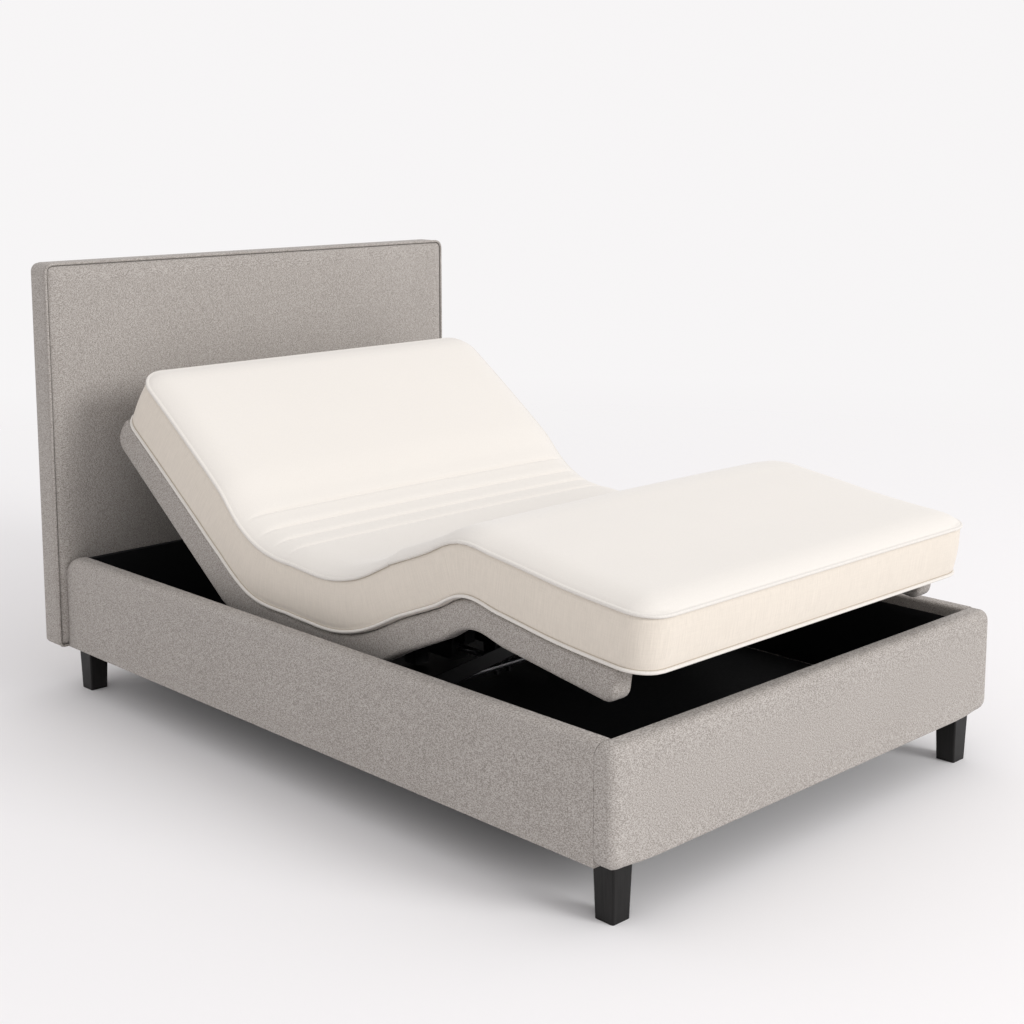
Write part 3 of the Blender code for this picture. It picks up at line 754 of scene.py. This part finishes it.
class BED_OT_mattress(bpy.types.Operator):
    """Mattress with piped edges and sewn channels, bending at the hinges"""
    bl_idname = "bed.mattress"
    bl_label = "Mattress"

    def execute(self, context):
        base, deep, half = 0.4005, 0.134, 0.606     # underside, depth at the piping, half width
        foot, head, corner = -0.020, 2.112, 0.070   # both ends and the round of the corners
        r, rise, sewn = sizes().piping, sizes().crown, sizes().channel
        channels = (1.505, 1.410, 1.320, 1.235)
        beside = (.003, .006, .009, .014)           # rows beside each channel

        def cord(centre_o, centre_w, start, stop):
            n = 7
            return [(centre_o + r * math.cos(math.radians(start + (stop - start) * i / n)),
                     centre_w + r * math.sin(math.radians(start + (stop - start) * i / n)))
                    for i in range(n + 1)]
        low_cord = cord(-0.001, base + 0.0075, -110, 100)
        top_cord = cord(-0.001, base + deep, -100, 115)
        band = [(0.0035 * math.sin(math.pi * t) - 0.0015, base + 0.0155 + (deep - 0.0235) * t)
                for t in (0.03, 0.12, 0.25, 0.4, 0.55, 0.7, 0.83, 0.93, 0.98)]
        edge = ([(-0.030, base), (-0.012, base + 0.0004), (-0.0065, base + 0.0030)] + low_cord
                + [(-0.0042, base + 0.0128)] + band + [(-0.0042, base + deep - 0.0062)] + top_cord
                + [(-0.0048, base + deep + 0.0042), (-0.0064, base + deep + 0.0062)])
        a, b = 3, 3 + len(low_cord)                 # where the lower piping starts and ends
        c = b + 1 + len(band)                       # where the band meets the upper piping

        def pick(kind):
            if not isinstance(kind, int):
                return 0 if kind != "bottom" else 1
            if a <= kind < b - 1 or c + 1 <= kind < c + len(top_cord):
                return 2
            # the face just above the lower piping and the one just below the upper piping take the darker
            # colour, as painted shadow lines beside the cords
            if kind in (b - 1, c):
                return 3
            return 1 if kind < c else 0

        def crown(u, v, near):
            t = min(1.0, near / 0.085)
            z = rise * 0.80 * (1 - (1 - t) ** 2.6) + rise * 0.20 * (1 - math.exp(-near / 0.25))
            fade = clamp((near - 0.012) / 0.06)
            for at in channels:
                z -= sewn * fade * math.exp(-((v - at) / 0.007) ** 2)
                z += sewn * 0.30 * fade * math.exp(-((v - at - 0.032) / 0.018) ** 2)
            return z

        fine = [at + s * d for at in channels for d in (0,) + beside for s in (-1, 1)]

        def line(y0, y1, extra):
            out = []
            for y in spread(y0, y1, ROW_STEP, extra + BESIDE_CUTS):
                draw_in = inset(y, foot, corner, 1) + inset(y, head, corner, -1)
                out.append((y, -half + draw_in, half - draw_in))
            return out
        parts = (
            ("back", MID_SEAT, head, fine + corner_marks(head, corner, -1, 10), (True, False),
             ("back_mattress",)),
            ("thigh", MID_THIGH, MID_SEAT, [], (True, True), ("seat_mattress", "thigh_mattress")),
            ("knee", foot, MID_THIGH, corner_marks(foot, corner, 1, 10), (False, True),
             ("calf_mattress",)),
        )
        for bend, y0, y1, extra, cut, stands_for in parts:
            slab = Slab(line(y0, y1, extra), lambda u, v: edge, crown, cut=cut)
            ob = bent_piece("mattress_" + bend, slab,
                            lambda u, v, w: (u, v, base + (w - base) * depth(v) / deep + sag(v)), bend,
                            ["top", "band", "piping", "piping_painted_shade"], pick)
            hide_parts(*stands_for)
        return {"FINISHED"}


class BED_OT_hardware(bpy.types.Operator):
    """Finishes for the legs, boards, arms and drives"""
    bl_idname = "bed.hardware"
    bl_label = "Legs, boards and drives"

    def execute(self, context):
        for name, node in FRAME["nodes"].items():
            slot = SLOT_OF[name]
            if slot in ("linen", "mattress"):
                continue
            node.data.materials.clear()
            node.data.materials.append(finish(slot))
        return {"FINISHED"}


class BED_OT_studio(bpy.types.Operator):
    """Pale floor, soft light and the camera"""
    bl_idname = "bed.studio"
    bl_label = "Floor, light and camera"

    def execute(self, context):
        scene = context.scene
        cam = bpy.data.cameras.new("camera")
        cam.lens, cam.shift_y, cam.clip_end = 59.57, -0.120, 200
        eye = bpy.data.objects.new("camera", cam)
        eye.location = (-3.0829, -3.263, 1.6106)
        eye.rotation_euler = (math.radians(90 - 8.761), 0, math.radians(-44.129))
        scene.collection.objects.link(eye)
        scene.camera = eye

        world = bpy.data.worlds.new("studio")
        scene.world = world
        world.use_nodes = True
        back = world.node_tree.nodes["Background"]
        back.inputs["Color"].default_value = (1.0, 0.985, 0.99, 1)
        back.inputs["Strength"].default_value = 0.93
        scene.view_settings.view_transform = "Standard"

        mesh = bpy.data.meshes.new("studio_floor")
        reach, steps = 60.0, 48
        turns = [2 * math.pi * i / steps for i in range(steps)]
        verts = [(0, 0, 0)] + [(reach * math.cos(a), reach * math.sin(a), 0) for a in turns]
        mesh.from_pydata(verts, [], [(0, i + 1, (i + 1) % steps + 1) for i in range(steps)])
        floor = bpy.data.objects.new("studio_floor", mesh)
        floor.location.z = -0.0002
        scene.collection.objects.link(floor)
        f = Finish("studio_floor")
        far = f.node("ShaderNodeVectorMath", {"operation": "LENGTH"}, [f.spot()], out="Value")
        f.set(Base_Color=(0.845, 0.835, 0.84), Roughness=0.95, Specular_IOR_Level=0.0,
              Alpha=f.level(far, 2.2, 6.5, 1.0, 0.0))
        mesh.materials.append(f.material)

        spot, target = Vector((3.4, -14.0, 6.2)), Vector((0, 0, 0.6))
        lamp = bpy.data.lights.new("front", "AREA")
        lamp.shape, lamp.size, lamp.energy = "DISK", 6.0, 1200
        light = bpy.data.objects.new("front", lamp)
        light.location = spot
        light.rotation_euler = (target - spot).to_track_quat("-Z", "Y").to_euler()
        scene.collection.objects.link(light)
        return {"FINISHED"}


STEPS = (BED_OT_studio, BED_OT_headboard, BED_OT_surround, BED_OT_shade_boards, BED_OT_deck_bars,
         BED_OT_mattress, BED_OT_hardware)


class BED_PT_panel(bpy.types.Panel):
    bl_idname = "BED_PT_panel"
    bl_label = "Adjustable bed"
    bl_space_type = "VIEW_3D"
    bl_region_type = "UI"
    bl_category = "Bed"

    def draw(self, context):
        for group in (context.scene.bed_sizes, context.scene.bed_colours):
            for prop in group.bl_rna.properties:
                if prop.identifier not in ("rna_type", "name"):
                    self.layout.prop(group, prop.identifier)
        for step in STEPS:
            self.layout.operator(step.bl_idname)


CLASSES = (BedSizes, BedColours, *STEPS, BED_PT_panel)


def register():
    for cls in CLASSES:
        bpy.utils.register_class(cls)
    bpy.types.Scene.bed_sizes = bpy.props.PointerProperty(type=BedSizes)
    bpy.types.Scene.bed_colours = bpy.props.PointerProperty(type=BedColours)


def unregister():
    del bpy.types.Scene.bed_sizes
    del bpy.types.Scene.bed_colours
    for cls in reversed(CLASSES):
        bpy.utils.unregister_class(cls)


def main():
    register()
    for step in STEPS:
        group, name = step.bl_idname.split(".")
        getattr(getattr(bpy.ops, group), name)()


if __name__ == "__main__":
    main()
